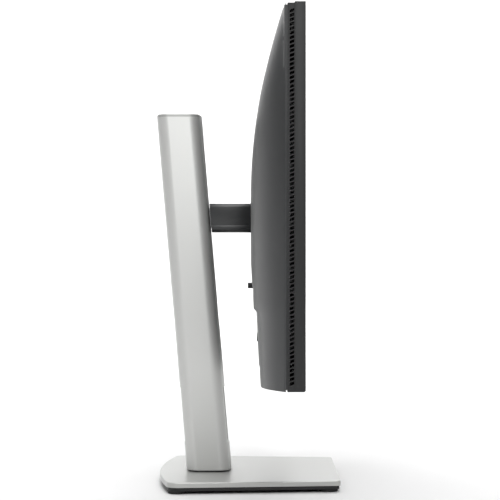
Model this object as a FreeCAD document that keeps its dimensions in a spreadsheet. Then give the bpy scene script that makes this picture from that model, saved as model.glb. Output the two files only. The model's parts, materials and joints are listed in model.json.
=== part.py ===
import FreeCAD, Part
import os

import Sketcher
from FreeCAD import Placement, Rotation, Vector

# A desktop monitor on a height-adjustable stand, in millimetres.
# +Z is up, the screen faces -Y, and +X is to the right of someone facing the screen.
# The origin is on the desk, under the middle of the object's box.

doc = FreeCAD.newDocument("monitor")

DIMENSIONS = [
    # Base
    ("foot_height", 2.9, "rubber pads under the tray"),
    ("foot_radius", 9.0, ""),
    ("foot_inset", 12.5, "pad centre in from the tray's sides"),
    ("foot_front_y", -80.5, ""),
    ("foot_rear_y", 67.0, ""),
    ("tray_depth", 3.5, "black tray under the plate"),
    ("tray_inset", 1.2, "tray edge behind the plate edge"),
    ("plate_thickness", 5.0, "steel plate"),
    ("plate_chamfer", 0.8, "bright bevel round the plate's top edge"),
    ("base_front", 92.0, "straight front edge, ahead of the origin"),
    ("base_corner_y", 75.1, "rear corners"),
    ("base_bow", 13.2, "bow of the rear edge beyond its corners"),
    ("base_width_front", 208.0, ""),
    ("base_width_rear", 245.0, ""),
    ("base_corner_radius", 12.0, "rear corners"),
    ("base_nose_radius", 4.0, "front corners"),
    ("tray_screw_radius", 1.5, ""),
    ("tray_screw_head", 3.0, "head radius"),
    # Swivel
    ("swivel_gap", 1.8, "shadow gap between base and column"),
    ("axle_radius", 9.0, "swivel axle"),
    ("running_clearance", 0.05, "radial gap of a shaft in its bearing"),
    ("face_clearance", 0.1, "gap between faces that slide"),
    ("bush_radius", 11.0, "outside of the swivel bush"),
    ("washer_radius", 20.0, "slip washer"),
    ("washer_thickness", 1.5, ""),
    ("tray_hole_radius", 17.0, "recess for the nut"),
    ("friction_washer_radius", 15.0, ""),
    ("friction_washer_thickness", 0.75, ""),
    ("swivel_nut_radius", 12.0, "across corners, half"),
    ("swivel_nut_height", 2.2, ""),
    # Column
    ("column_top", 373.6, "height of the cap above the desk"),
    ("column_width", 70.0, "across X"),
    ("column_depth", 46.0, "front to back at mid-width"),
    ("column_crown", 3.67, "bow of the front and rear faces"),
    ("column_corner", 11.0, "rounding of the four long edges"),
    ("column_wall", 2.2, ""),
    ("lean_slope", 0.085, "rearward travel of the column for each unit of height"),
    ("cap_height", 3.0, ""),
    ("cap_edge", 1.4, "rounding of the cap's rim"),
    ("cable_hole_width", 40.0, ""),
    ("cable_hole_bottom", 39.5, ""),
    ("cable_hole_top", 96.0, ""),
    ("tunnel_wall", 2.0, ""),
    ("slot_width", 25.0, "cut in the front of the shell for the arm"),
    ("slot_bottom", 160.0, ""),
    ("slot_top", 350.0, ""),
    ("slot_trim_wall", 2.5, ""),
    ("foot_block_top", 36.0, "top of the column's casting"),
    ("mast_width", 56.0, ""),
    ("mast_wall", 2.0, ""),
    ("mast_front", -14.0, "front edge of the mast's sides, from the column's middle"),
    ("mast_back", 18.0, "back of the mast's web"),
    ("mast_top", 366.0, ""),
    ("rail_width", 4.0, ""),
    ("rail_depth", 8.0, ""),
    ("rail_bottom", 122.0, ""),
    # Carriage and arm
    ("pivot_height", 268.5, "tilt and pivot axes above the desk"),
    ("carriage_width", 35.0, ""),
    ("carriage_front", -12.0, "from the column's middle"),
    ("carriage_back", 10.0, ""),
    ("carriage_drop", 36.0, "carriage below the arm's middle"),
    ("carriage_rise", 31.0, "carriage above the arm's middle"),
    ("bush_gap", 0.3, "slider bush to rail"),
    ("bush_height", 14.0, ""),
    ("drum_drop", 52.5, "spring axle below the arm's middle"),
    ("drum_offset", 3.0, "spring axle behind the column's middle"),
    ("drum_radius", 5.0, "bobbin core"),
    ("coil_radius", 9.0, "outside of the wound spring"),
    ("coil_width", 20.0, ""),
    ("spring_axle_radius", 2.5, ""),
    ("tape_thickness", 0.4, ""),
    ("neck_width", 18.0, "part of the bracket that passes the slot"),
    ("neck_height", 20.0, ""),
    ("arm_width", 50.0, ""),
    ("arm_height", 29.1, ""),
    ("arm_bevel", 3.0, "bevel along the arm's four long edges"),
    ("arm_seam", 7.2, "split between the two covers, above the arm's underside"),
    ("arm_wall", 2.0, ""),
    ("arm_front", -5.5, "front end of the arm covers"),
    ("arm_gap", 0.6, "arm covers to the column"),
    # Tilt and pivot
    ("tilt_y", 4.0, "tilt axis"),
    ("tilt_shaft_radius", 4.0, ""),
    ("knuckle_radius", 7.5, ""),
    ("knuckle_width", 24.0, ""),
    ("fork_inside", 32.0, ""),
    ("fork_wall", 4.0, ""),
    ("flange_rear", -11.0, "rear face of the tilt bracket's flange"),
    ("flange_thickness", 2.5, ""),
    ("flange_radius", 26.0, ""),
    ("pivot_radius", 8.0, "pivot stub"),
    ("pivot_nut_radius", 12.0, "across corners, half"),
    ("pivot_nut_height", 2.4, ""),
    # Quick-release plate
    ("mount_rear", -14.5, "rear face of the mount plate"),
    ("mount_thickness", 2.5, ""),
    ("mount_width", 78.0, ""),
    ("mount_height", 112.0, ""),
    ("plate_cover_rear", -7.0, ""),
    ("plate_cover_width", 84.0, ""),
    ("plate_cover_height", 118.0, ""),
    ("plate_cover_hole", 33.0, "radius"),
    # Display housing
    ("display_width", 531.2, ""),
    ("display_bottom", 109.8, ""),
    ("display_top", 456.6, ""),
    ("screen_y", -53.1, "front plane"),
    ("bezel_rear", -43.3, "bezel to vent frame"),
    ("vent_frame_rear", -36.9, "vent frame to rear cover"),
    ("cover_edge", -35.1, "rear end of the flat side"),
    ("cover_step", 1.2, "rear housings below the bezel's top"),
    ("groove_depth", 1.6, "groove between vent frame and rear cover"),
    ("housing_wall", 2.5, ""),
    ("bezel_lip", 3.0, "bezel's sides and top around the glass"),
    ("bezel_chin", 13.0, "bezel's strip under the glass"),
    ("bezel_chamfer", 1.2, ""),
    ("vent_count", 85, "holes in each side"),
    ("vent_pitch", 3.94, ""),
    ("vent_height", 2.8, ""),
    ("vent_slant", 1.5, "rise of each hole towards the screen"),
    ("vent_bottom", 117.4, "middle of the lowest hole"),
    ("vent_front", -42.8, ""),
    ("vent_back", -38.8, ""),
    # Rear cover: side profile from top to bottom, then plan
    ("crest_y", -33.0, "top of the bulge"),
    ("brow_y", -23.8, "a point on the upper curve"),
    ("brow_z", 424.4, ""),
    ("shoulder_y", -14.0, "where the upper curve meets the long one"),
    ("shoulder_z", 384.4, ""),
    ("back_via_y", -6.9, "a point on the long curve"),
    ("back_via_z", 337.0, ""),
    ("back_y", -4.3, "rearmost stretch"),
    ("back_top_z", 290.0, ""),
    ("back_bottom_y", -4.6, ""),
    ("back_bottom_z", 221.4, ""),
    ("ledge_y", -6.8, "band round the release button"),
    ("ledge_top_z", 197.4, ""),
    ("ledge_bottom_z", 181.4, ""),
    ("skirt_y", -9.9, "top of the lower part"),
    ("skirt_z", 177.8, ""),
    ("hem_y", -13.5, "bottom of the lower part"),
    ("flat_half_width", 160.0, "flat middle of the plan"),
    ("flank_x", 215.0, "a point on the plan's curved flank"),
    ("flank_y", -12.2, ""),
    # Recess and bay
    ("recess_half", 61.0, "half the side of the square mounting recess"),
    ("recess_floor", -17.0, ""),
    ("floor_hole_radius", 24.0, "clears the pivot nut"),
    ("bay_half_width", 120.0, "socket bay"),
    ("bay_top", 150.0, ""),
    ("bay_floor", -31.0, ""),
    ("vesa_spacing", 100.0, "bolt pattern"),
    ("vesa_hole_radius", 2.0, "M4"),
    ("vesa_hole_depth", 9.0, ""),
    ("insert_radius", 5.0, ""),
    ("insert_front", -29.5, ""),
    ("cover_screw_radius", 1.5, ""),
    ("cover_screw_x", 55.0, ""),
    ("cover_screw_z", 30.0, "above and below the pivot axis"),
    # Liquid-crystal module
    ("glass_gap", 0.3, "round the glass"),
    ("glass_front", -52.5, ""),
    ("glass_thickness", 1.6, ""),
    ("diffuser_front", -50.7, ""),
    ("diffuser_thickness", 0.9, ""),
    ("guide_front", -49.6, ""),
    ("guide_thickness", 2.5, ""),
    ("reflector_front", -46.9, ""),
    ("reflector_thickness", 0.4, ""),
    ("panel_tray_front", -46.3, ""),
    ("panel_tray_thickness", 0.7, ""),
    ("led_height", 3.0, ""),
    # Steelwork and electronics
    ("chassis_front", -36.2, ""),
    ("chassis_thickness", 0.8, ""),
    ("board_rear", -27.4, "face that carries the parts"),
    ("board_thickness", 1.6, ""),
    ("board_top", 203.0, ""),
    # Controls
    ("button_rear", -1.4, "release button's tip"),
    ("button_bottom", 196.7, ""),
    ("button_top", 202.2, ""),
    ("button_width", 16.0, ""),
    ("joystick_x", 226.0, ""),
    ("joystick_z", 136.0, ""),
    ("joystick_radius", 5.0, ""),
    ("stick_pin_y", -18.4, "axis on which the cap tips"),
    ("stick_pin_radius", 1.0, ""),
    ("power_x", 238.0, ""),
    ("power_length", 12.0, ""),
    ("power_width", 4.0, ""),
]


class Size:
    """A number together with the sheet formula that gives it."""

    def __init__(self, number, formula):
        self.number = float(number)
        self.formula = formula

    def __add__(self, other):
        return Size(self.number + size(other).number, f"({self.formula} + {size(other).formula})")

    def __sub__(self, other):
        return Size(self.number - size(other).number, f"({self.formula} - {size(other).formula})")

    def __mul__(self, other):
        return Size(self.number * size(other).number, f"({self.formula} * {size(other).formula})")

    def __truediv__(self, other):
        return Size(self.number / size(other).number, f"({self.formula} / {size(other).formula})")

    def __radd__(self, other):
        return size(other) + self

    def __rsub__(self, other):
        return size(other) - self

    def __rmul__(self, other):
        return size(other) * self

    def __neg__(self):
        return size(0) - self


def size(item):
    """Turns a plain number into a Size and leaves a Size as it is."""
    return item if isinstance(item, Size) else Size(item, f"({float(item)})")


class Sheet:
    """The driving dimensions: each alias reads as a Size bound to its cell."""

    def __init__(self, rows):
        self.cells = doc.addObject("Spreadsheet::Sheet", "dims")
        self.numbers = {}
        for row, (alias, number, note) in enumerate(rows, start=1):
            self.cells.set(f"A{row}", note or alias.replace("_", " "))
            self.cells.set(f"B{row}", str(number))
            self.cells.setAlias(f"B{row}", alias)
            self.numbers[alias] = number

    def __getattr__(self, alias):
        return Size(self.numbers[alias], f"dims.{alias}")


d = Sheet(DIMENSIONS)
doc.recompute()
nodes = []


def node(part, name):
    """Names a finished sub-part and lists it for export."""
    part.Label = name
    nodes.append(part)
    return part


def bind(part, prop, value):
    part.setExpression(prop, size(value).formula)


def across(width, middle=0):
    """The two ends of a width laid about its middle."""
    return (middle - width / 2, middle + width / 2)


def box(name, x, y, z):
    """A block between two sizes along each axis."""
    block = doc.addObject("Part::Box", name)
    for prop, axis, (low, high) in zip(("Length", "Width", "Height"), "xyz", (x, y, z)):
        bind(block, prop, size(high) - low)
        bind(block, f"Placement.Base.{axis}", low)
    return block


TURNS = {
    "x": Rotation(Vector(0, 0, 1), Vector(1, 0, 0)),
    "y": Rotation(Vector(0, 0, 1), Vector(0, 1, 0)),
    "z": Rotation(),
}


def rod(name, axis, radius, centre, span):
    """A cylinder along an axis. Its centre holds the other two coordinates in X, Y, Z order."""
    cylinder = doc.addObject("Part::Cylinder", name)
    cylinder.Placement = Placement(Vector(), TURNS[axis])
    bind(cylinder, "Radius", radius)
    bind(cylinder, "Height", size(span[1]) - span[0])
    others = iter(centre)
    for letter in "xyz":
        bind(cylinder, f"Placement.Base.{letter}", span[0] if letter == axis else next(others))
    return cylinder


def hexagon(name, axis, radius, centre, span):
    """A six-sided prism, placed like a rod."""
    prism = doc.addObject("Part::Prism", name)
    prism.Placement = Placement(Vector(), TURNS[axis])
    bind(prism, "Circumradius", radius)
    bind(prism, "Height", size(span[1]) - span[0])
    others = iter(centre)
    for letter in "xyz":
        bind(prism, f"Placement.Base.{letter}", span[0] if letter == axis else next(others))
    return prism


def fuse(name, *parts):
    joined = doc.addObject("Part::MultiFuse", name)
    joined.Shapes = list(parts)
    return joined


def cut(name, base, *tools):
    result = doc.addObject("Part::Cut", name)
    result.Base = base
    result.Tool = tools[0] if len(tools) == 1 else fuse(name + "_tools", *tools)
    return result


def common(name, *parts):
    overlap = doc.addObject("Part::MultiCommon", name)
    overlap.Shapes = list(parts)
    return overlap


def group(name, *parts):
    """Several separate solids that share one sub-part."""
    together = doc.addObject("Part::Compound", name)
    together.Links = list(parts)
    return together


class Via(tuple):
    """A point of an outline that an arc passes through between its two neighbours."""


def pin_point(sketch, geometry, position, point):
    """Holds a sketch point at two sizes."""
    for kind, value in zip(("DistanceX", "DistanceY"), point):
        value = size(value)
        index = sketch.addConstraint(Sketcher.Constraint(kind, -1, 1, geometry, position, value.number))
        sketch.setExpression(f"Constraints[{index}]", value.formula)


def flat(point):
    return Vector(size(point[0]).number, size(point[1]).number, 0)


def draw(sketch, outline):
    """Draws one closed outline of straight lines, with an arc wherever a Via point stands."""
    count = len(outline)
    edges = []
    for index, point in enumerate(outline):
        if isinstance(point, Via):
            continue
        after = outline[(index + 1) % count]
        if isinstance(after, Via):
            end = outline[(index + 2) % count]
            arc = Part.Arc(flat(point), flat(after), flat(end))
            edge = sketch.addGeometry(arc, False)
            forward = sketch.getPoint(edge, 1).distanceToPoint(flat(point)) < 1e-6
            mark = sketch.addGeometry(Part.Point(flat(after)), True)
            pin_point(sketch, mark, 1, after)
            sketch.addConstraint(Sketcher.Constraint("PointOnObject", mark, 1, edge))
            edges.append((edge, 1 if forward else 2, 2 if forward else 1, point))
        else:
            edge = sketch.addGeometry(Part.LineSegment(flat(point), flat(after)), False)
            edges.append((edge, 1, 2, point))
    for position, (edge, start, end, point) in enumerate(edges):
        following = edges[(position + 1) % len(edges)]
        sketch.addConstraint(Sketcher.Constraint("Coincident", edge, end, following[0], following[1]))
        pin_point(sketch, edge, start, point)


def extrude(name, turn, axis, sign, span, outline):
    sketch = doc.addObject("Sketcher::SketchObject", name + "_outline")
    sketch.Placement = Placement(Vector(), turn)
    bind(sketch, f"Placement.Base.{axis}", span[0])
    draw(sketch, outline)
    solid = doc.addObject("Part::Extrusion", name)
    solid.Base = sketch
    solid.DirMode = "Normal"
    solid.Solid = True
    bind(solid, "LengthFwd", (size(span[1]) - span[0]) * sign)
    return solid


def side_prism(name, x, outline):
    """A (Y, Z) outline carried along X."""
    return extrude(name, Rotation(Vector(1, 1, 1), 120), "x", 1, x, outline)


def plan_prism(name, z, outline):
    """An (X, Y) outline carried up Z."""
    return extrude(name, Rotation(), "z", 1, z, outline)


def front_prism(name, y, outline):
    """An (X, Z) outline carried from the first Y, the rear one, forward to the second."""
    return extrude(name, Rotation(Vector(1, 0, 0), 90), "y", -1, y, outline)


# PartDesign helpers


def plane_of(body, role):
    return next(item for item in body.Origin.OriginFeatures if item.Role == role)


def new_body(name):
    return doc.addObject("PartDesign::Body", name + "_body")


def new_sketch(body, role, offset):
    sketch = body.newObject("Sketcher::SketchObject", body.Name + "_sketch")
    sketch.AttachmentSupport = [(plane_of(body, role), "")]
    sketch.MapMode = "FlatFace"
    bind(sketch, "AttachmentOffset.Base.z", offset)
    return sketch


def feature(body, kind, sketch, length, slope=None):
    """A Pad, or a Pocket that runs the same way, along the sketch's normal or leaning by slope."""
    step = body.newObject("PartDesign::" + kind, body.Name + "_" + kind.lower())
    step.Profile = sketch
    bind(step, "Length", length)
    if slope is None:
        step.Reversed = kind == "Pocket"
    else:
        step.UseCustomVector = True
        step.Direction = Vector(0, slope.number, 1)
        bind(step, "Direction.y", slope)
        step.AlongSketchNormal = True
    return step


def dress(body, kind, prop, value, base, chosen):
    """A Fillet or Chamfer on the edges of the last feature that chosen() picks."""
    doc.recompute()
    names = [f"Edge{i}" for i, edge in enumerate(base.Shape.Edges, start=1) if chosen(edge)]
    step = body.newObject("PartDesign::" + kind, body.Name + "_" + kind.lower())
    step.Base = (base, names)
    bind(step, prop, value)
    return step


# Heights and places worked out from the driving dimensions
tray_top = d.foot_height + d.tray_depth
power_y = (d.screen_y + d.bezel_rear) / 2
base_top = tray_top + d.plate_thickness
column_bottom = base_top + d.swivel_gap
swivel_y = d.base_front - d.column_depth / 2 - d.lean_slope * (d.column_top - column_bottom)
pivot_z = d.pivot_height


def axis_y(z):
    """The column's middle line at a height."""
    return swivel_y + d.lean_slope * (z - column_bottom)


def leaning_block(name, x, depth, z):
    """A block inside the column that leans with it. Depth is measured from the column's middle."""
    outline = [
        (axis_y(z[0]) + depth[0], size(z[0])),
        (axis_y(z[0]) + depth[1], size(z[0])),
        (axis_y(z[1]) + depth[1], size(z[1])),
        (axis_y(z[1]) + depth[0], size(z[1])),
    ]
    return side_prism(name, x, outline)


def mirrored(maker, name, low, high, *rest):
    """The same block on both sides of X = 0."""
    right = maker(name + "_right", (low, high), *rest)
    left = maker(name + "_left", (-size(high), -size(low)), *rest)
    return right, left


def base_outline(inset):
    front = d.base_width_front / 2 - inset
    rear = d.base_width_rear / 2 - inset
    return [
        (-front, -d.base_front + inset),
        (front, -d.base_front + inset),
        (rear, d.base_corner_y - inset),
        Via((0, d.base_corner_y + d.base_bow - inset)),
        (-rear, d.base_corner_y - inset),
    ]


def base_slab(name, bottom, height, inset):
    """A plate with the base's outline, rounded at its corners."""
    body = new_body(name)
    sketch = new_sketch(body, "XY_Plane", bottom)
    draw(sketch, base_outline(inset))
    slab = feature(body, "Pad", sketch, height)

    def upright(edge, rear):
        box_ = edge.BoundBox
        return box_.ZLength > 1 and (box_.YMin > 0) == rear

    rear = dress(body, "Fillet", "Radius", d.base_corner_radius, slab, lambda e: upright(e, True))
    front = dress(body, "Fillet", "Radius", d.base_nose_radius, rear, lambda e: upright(e, False))
    return body, front


def make_base():
    plate, slab = base_slab("plate", tray_top, d.plate_thickness, 0)
    top = base_top.number
    dress(plate, "Chamfer", "Size", d.plate_chamfer, slab, lambda e: e.BoundBox.ZMin > top - 0.01)
    tray, _ = base_slab("tray", d.foot_height, d.tray_depth, d.tray_inset)
    corners = []
    for side in (-1, 1):
        corners.append((side * (d.base_width_front / 2 - d.foot_inset + 2), d.foot_front_y))
        corners.append((side * (d.base_width_rear / 2 - d.foot_inset), d.foot_rear_y))
    screws = []
    for number, (x, y) in enumerate(corners):
        place = (x * 0.8, y * 0.8)
        shank = rod(f"tray_shank_{number}", "z", d.tray_screw_radius, place, (d.foot_height, tray_top + 3))
        head = rod(f"tray_head_{number}", "z", d.tray_screw_head, place, (d.foot_height, d.foot_height + 1.5))
        screws.append(fuse(f"tray_screw_{number}", shank, head))
    screw_group = node(group("screws", *screws), "tray_screws")
    middle = (0, swivel_y)
    plate_hole = rod("plate_hole", "z", d.bush_radius, middle, (tray_top - 1, base_top + 1))
    tray_hole = rod("tray_hole", "z", d.tray_hole_radius, middle, (d.foot_height - 1, tray_top + 1))
    node(cut("plate_cut", plate, plate_hole, screw_group), "base_plate")
    node(cut("tray_cut", tray, tray_hole, screw_group), "base_tray")
    pads = [
        rod(f"pad_{number}", "z", d.foot_radius, place, (0, d.foot_height))
        for number, place in enumerate(corners)
    ]
    node(group("pads", *pads), "foot_pads")
    bore = d.axle_radius + d.running_clearance
    bush = rod("bush_outside", "z", d.bush_radius, middle, (tray_top, base_top))
    bush_bore = rod("bush_bore", "z", bore, middle, (tray_top - 1, base_top + 1))
    node(cut("bush", bush, bush_bore), "swivel_bush")
    washer = rod("washer_outside", "z", d.washer_radius, middle, (base_top, base_top + d.washer_thickness))
    washer_bore = rod("washer_bore", "z", bore, middle, (base_top - 1, base_top + 3))
    node(cut("washer", washer, washer_bore), "swivel_washer")


def column_outline(inset):
    half = d.column_width / 2 - inset
    face = d.column_depth / 2 - inset
    corner = face - d.column_crown
    return [
        (-half, -corner), Via((0, -face)), (half, -corner),
        (half, corner), Via((0, face)), (-half, corner),
    ]


def column_body(name, inset, bottom, top):
    """The column's section carried up along its lean, with its long edges rounded."""
    body = new_body(name)
    sketch = new_sketch(body, "XY_Plane", 0)
    draw(sketch, column_outline(inset))
    tube = feature(body, "Pad", sketch, size(top) - bottom, d.lean_slope)
    rounded = dress(
        body, "Fillet", "Radius", d.column_corner - inset, tube,
        lambda e: e.BoundBox.ZLength > 0.9 * (size(top) - bottom).number,
    )
    bind(body, "Placement.Base.y", axis_y(bottom))
    bind(body, "Placement.Base.z", bottom)
    return body, rounded


def make_column():
    seam = d.column_top - d.cap_height
    outside, _ = column_body("shell", size(0), column_bottom, seam)
    inside, _ = column_body("shell_inside", d.column_wall, column_bottom - 1, seam + 1)
    trimmer, _ = column_body("tunnel_trimmer", size(0), column_bottom, seam)
    tunnel_x = d.cable_hole_width / 2 + d.tunnel_wall
    tunnel_z = (d.cable_hole_bottom - d.tunnel_wall, d.cable_hole_top + d.tunnel_wall)
    shell_window = box("shell_window", (-tunnel_x, tunnel_x), (-60, 120), tunnel_z)
    slot_z = (d.slot_bottom, d.slot_top)
    shell_slot = leaning_block("shell_slot", across(d.slot_width), (-30, 0), slot_z)
    node(cut("shell_cut", outside, inside, shell_window, shell_slot), "column_shell")

    tunnel = box("tunnel_block", (-tunnel_x, tunnel_x), (-60, 120), tunnel_z)
    tunnel_trimmed = common("tunnel_trimmed", tunnel, trimmer)
    hole = box("tunnel_hole", across(d.cable_hole_width), (-60, 120), (d.cable_hole_bottom, d.cable_hole_top))
    node(cut("tunnel", tunnel_trimmed, hole), "cable_tunnel")

    cap, cap_solid = column_body("cap", size(0), seam, d.column_top)
    rim = d.cap_height.number
    dress(cap, "Fillet", "Radius", d.cap_edge, cap_solid, lambda e: e.BoundBox.ZMin > rim - 0.01)
    node(cap, "column_cap")

    trim = leaning_block("trim_block", across(d.slot_width), (-22.4, -20.4), slot_z)
    trim_z = (d.slot_bottom + d.slot_trim_wall, d.slot_top - d.slot_trim_wall)
    trim_hole = leaning_block("trim_hole", across(d.slot_width - 2 * d.slot_trim_wall), (-25, -15), trim_z)
    node(cut("trim", trim, trim_hole), "slot_trim")

    # Casting with the swivel axle, shaped to the inside of the shell
    lining_inset = d.column_wall + d.face_clearance
    foot_space, _ = column_body("foot_space", lining_inset, column_bottom, seam)
    mast_space, _ = column_body("mast_space", lining_inset, column_bottom, seam)
    middle = (0, swivel_y)
    block = common(
        "foot_block",
        leaning_block("foot_block_raw", across(60), (-17, 17), (column_bottom + 0.7, d.foot_block_top)),
        foot_space,
    )
    boss_bottom = base_top + d.washer_thickness + d.face_clearance / 2
    boss = rod("foot_boss", "z", d.washer_radius, middle, (boss_bottom, column_bottom + 1))
    axle = rod("foot_axle", "z", d.axle_radius, middle, (d.foot_height + 0.4, column_bottom + 1))
    node(fuse("foot", block, boss, axle), "column_foot")
    washer_z = (tray_top - d.face_clearance - d.friction_washer_thickness, tray_top - d.face_clearance)
    disc = rod("disc_outside", "z", d.friction_washer_radius, middle, washer_z)
    disc_bore = rod("disc_bore", "z", d.axle_radius, middle, (0, tray_top))
    node(cut("disc", disc, disc_bore), "friction_washer")
    nut_z = (washer_z[0] - d.swivel_nut_height, washer_z[0])
    nut = hexagon("nut_outside", "z", d.swivel_nut_radius, middle, nut_z)
    nut_bore = rod("nut_bore", "z", d.axle_radius, middle, (0, tray_top))
    node(cut("nut", nut, nut_bore), "swivel_nut")

    # Mast: two sides and a web above the cable hole
    outer = d.mast_width / 2
    inner = outer - d.mast_wall
    mast_z = (d.foot_block_top, d.mast_top)
    sides = mirrored(leaning_block, "mast_side", inner, outer, (d.mast_front, d.mast_back), mast_z)
    web_z = (tunnel_z[1] + 1, d.mast_top)
    web = leaning_block("mast_web", (-outer, outer), (d.mast_back - d.mast_wall, d.mast_back), web_z)
    node(common("mast", fuse("mast_raw", *sides, web), mast_space), "column_mast")
    rails = mirrored(
        leaning_block, "rail", inner - d.rail_width, inner,
        across(d.rail_depth), (d.rail_bottom, d.mast_top - 2),
    )
    node(group("rails", *rails), "guide_rails")

    # Spring tape and its anchor at the top of the mast
    tape_front = d.drum_offset + d.coil_radius + d.face_clearance
    tape_back = tape_front + d.tape_thickness
    drum_z = pivot_z - d.drum_drop
    tape = leaning_block("tape", across(d.coil_width), (tape_front, tape_back), (drum_z, d.mast_top - 2))
    node(tape, "spring_tape")
    anchor_z = (d.mast_top - 14, d.mast_top - 2)
    anchor_y = (tape_back, d.mast_back - d.mast_wall)
    anchor = leaning_block("anchor", across(d.coil_width + 4), anchor_y, anchor_z)
    node(anchor, "tape_anchor")


def make_arm_screws():
    """Four screws that hold the bracket's flange to the carriage."""
    screws = []
    for index, (x, dz) in enumerate(((-10, -16), (10, -16), (-10, 16), (10, 16))):
        z = pivot_z + dz
        face = axis_y(z) + d.carriage_front - 3
        head = rod(f"arm_head_{index}", "y", 3, (x, z), (face - 2, face))
        shank = rod(f"arm_shank_{index}", "y", 1.5, (x, z), (face - 1, face + 8))
        screws.append(fuse(f"arm_screw_{index}", head, shank))
    return node(group("bracket_screws", *screws), "arm_screws")


def make_carriage():
    bottom = pivot_z - d.carriage_drop
    top = pivot_z + d.carriage_rise
    half = d.carriage_width / 2
    block = leaning_block("carriage_block", (-half, half), (d.carriage_front, d.carriage_back), (bottom, top))
    drum_z = pivot_z - d.drum_drop
    ears = mirrored(
        leaning_block, "carriage_ear", half - 4, half, (-4, d.carriage_back), (drum_z - 6, bottom + 1),
    )
    drum_y = axis_y(drum_z) + d.drum_offset
    axle_hole = rod("axle_hole", "x", d.spring_axle_radius, (drum_y, drum_z), (-30, 30))
    screws = make_arm_screws()
    node(cut("carriage", fuse("carriage_solid", block, *ears), axle_hole, screws), "slider_carriage")
    node(rod("spring_pin", "x", d.spring_axle_radius, (drum_y, drum_z), (-half, half)), "spring_axle")

    # Four bushes, each a channel that embraces a rail
    rail_x = d.mast_width / 2 - d.mast_wall - d.rail_width
    shoes = []
    for level, low in (("low", bottom), ("high", top - d.bush_height)):
        z = (low, low + d.bush_height)
        outer = mirrored(leaning_block, f"shoe_{level}", half, rail_x + 3, (-8, 8), z)
        reach = d.rail_depth / 2 + d.bush_gap
        groove = mirrored(
            leaning_block, f"groove_{level}", rail_x - d.bush_gap, rail_x + 9,
            (-reach, reach), (low - 1, low + 20),
        )
        shoes += [cut(f"bush_{level}_{side}", outer[side], groove[side]) for side in (0, 1)]
    node(group("bushes", *shoes), "slider_bushes")

    # Bracket: flange on the carriage, neck through the slot, fork for the tilt shaft
    flange = leaning_block(
        "bracket_flange", across(28), (d.carriage_front - 3, d.carriage_front), (pivot_z - 22, pivot_z + 22),
    )
    neck_z = across(d.neck_height, pivot_z)
    neck = side_prism("bracket_neck", across(d.neck_width), [
        (14, neck_z[0]), (axis_y(neck_z[0]) + d.carriage_front - 1, neck_z[0]),
        (axis_y(neck_z[1]) + d.carriage_front - 1, neck_z[1]), (14, neck_z[1]),
    ])
    fork_half = d.fork_inside / 2
    bridge = box("fork_bridge", across(d.fork_inside + 2 * d.fork_wall), (12.5, 17), neck_z)
    tip = mirrored(box, "fork_ear", fork_half, fork_half + d.fork_wall, (d.tilt_y, 14), across(15, pivot_z))
    hinge = (d.tilt_y, pivot_z)
    eyes = [
        rod("fork_eye_right", "x", d.knuckle_radius, hinge, (fork_half, fork_half + d.fork_wall)),
        rod("fork_eye_left", "x", d.knuckle_radius, hinge, (-fork_half - d.fork_wall, -fork_half)),
    ]
    bore = rod("fork_bore", "x", d.tilt_shaft_radius + d.running_clearance, hinge, (-30, 30))
    bracket = fuse("bracket_solid", flange, neck, bridge, *tip, *eyes)
    node(cut("bracket", bracket, bore, screws), "arm_bracket")
    make_arm_covers()


def make_arm_covers():
    half = d.arm_width / 2
    low, high = across(d.arm_height, pivot_z)
    seam = low + d.arm_seam
    face = -d.column_depth / 2 - d.arm_gap

    def cover(name, edge, sign):
        """One part of the arm's casing, between the split line and its bevelled outer edge."""
        bevel = sign * d.arm_bevel
        shape = [
            (-half, seam), (half, seam), (half, edge - bevel),
            (half - d.arm_bevel, edge), (-half + d.arm_bevel, edge), (-half, edge - bevel),
        ]
        outside = front_prism(name + "_outside", (60, d.arm_front), shape)
        reach = side_prism(name + "_reach", across(80), [
            (d.arm_front, low), (axis_y(low) + face, low), (axis_y(high) + face, high), (d.arm_front, high),
        ])
        wall = d.arm_wall
        inner = [
            (-half + wall, seam - sign * 5), (half - wall, seam - sign * 5),
            (half - wall, edge - bevel), (half - d.arm_bevel - 1, edge - sign * wall),
            (-half + d.arm_bevel + 1, edge - sign * wall), (-half + wall, edge - bevel),
        ]
        inside = front_prism(name + "_inside", (70, -20), inner)
        return cut(name + "_cover", common(name + "_solid", outside, reach), inside)

    node(cover("arm_upper", high, 1), "arm_cover_upper")
    node(cover("arm_lower", low, -1), "arm_cover_lower")


def make_drum():
    drum_z = pivot_z - d.drum_drop
    centre = (axis_y(drum_z) + d.drum_offset, drum_z)
    bore = rod("drum_bore", "x", d.spring_axle_radius + d.running_clearance, centre, (-30, 30))
    core = rod("drum_core", "x", d.drum_radius, centre, across(d.coil_width + 4))
    node(cut("drum", core, bore), "spring_drum")
    coil = rod("coil_outside", "x", d.coil_radius, centre, across(d.coil_width))
    coil_bore = rod("coil_bore", "x", d.drum_radius, centre, (-30, 30))
    node(cut("coil", coil, coil_bore), "spring_coil")


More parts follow.
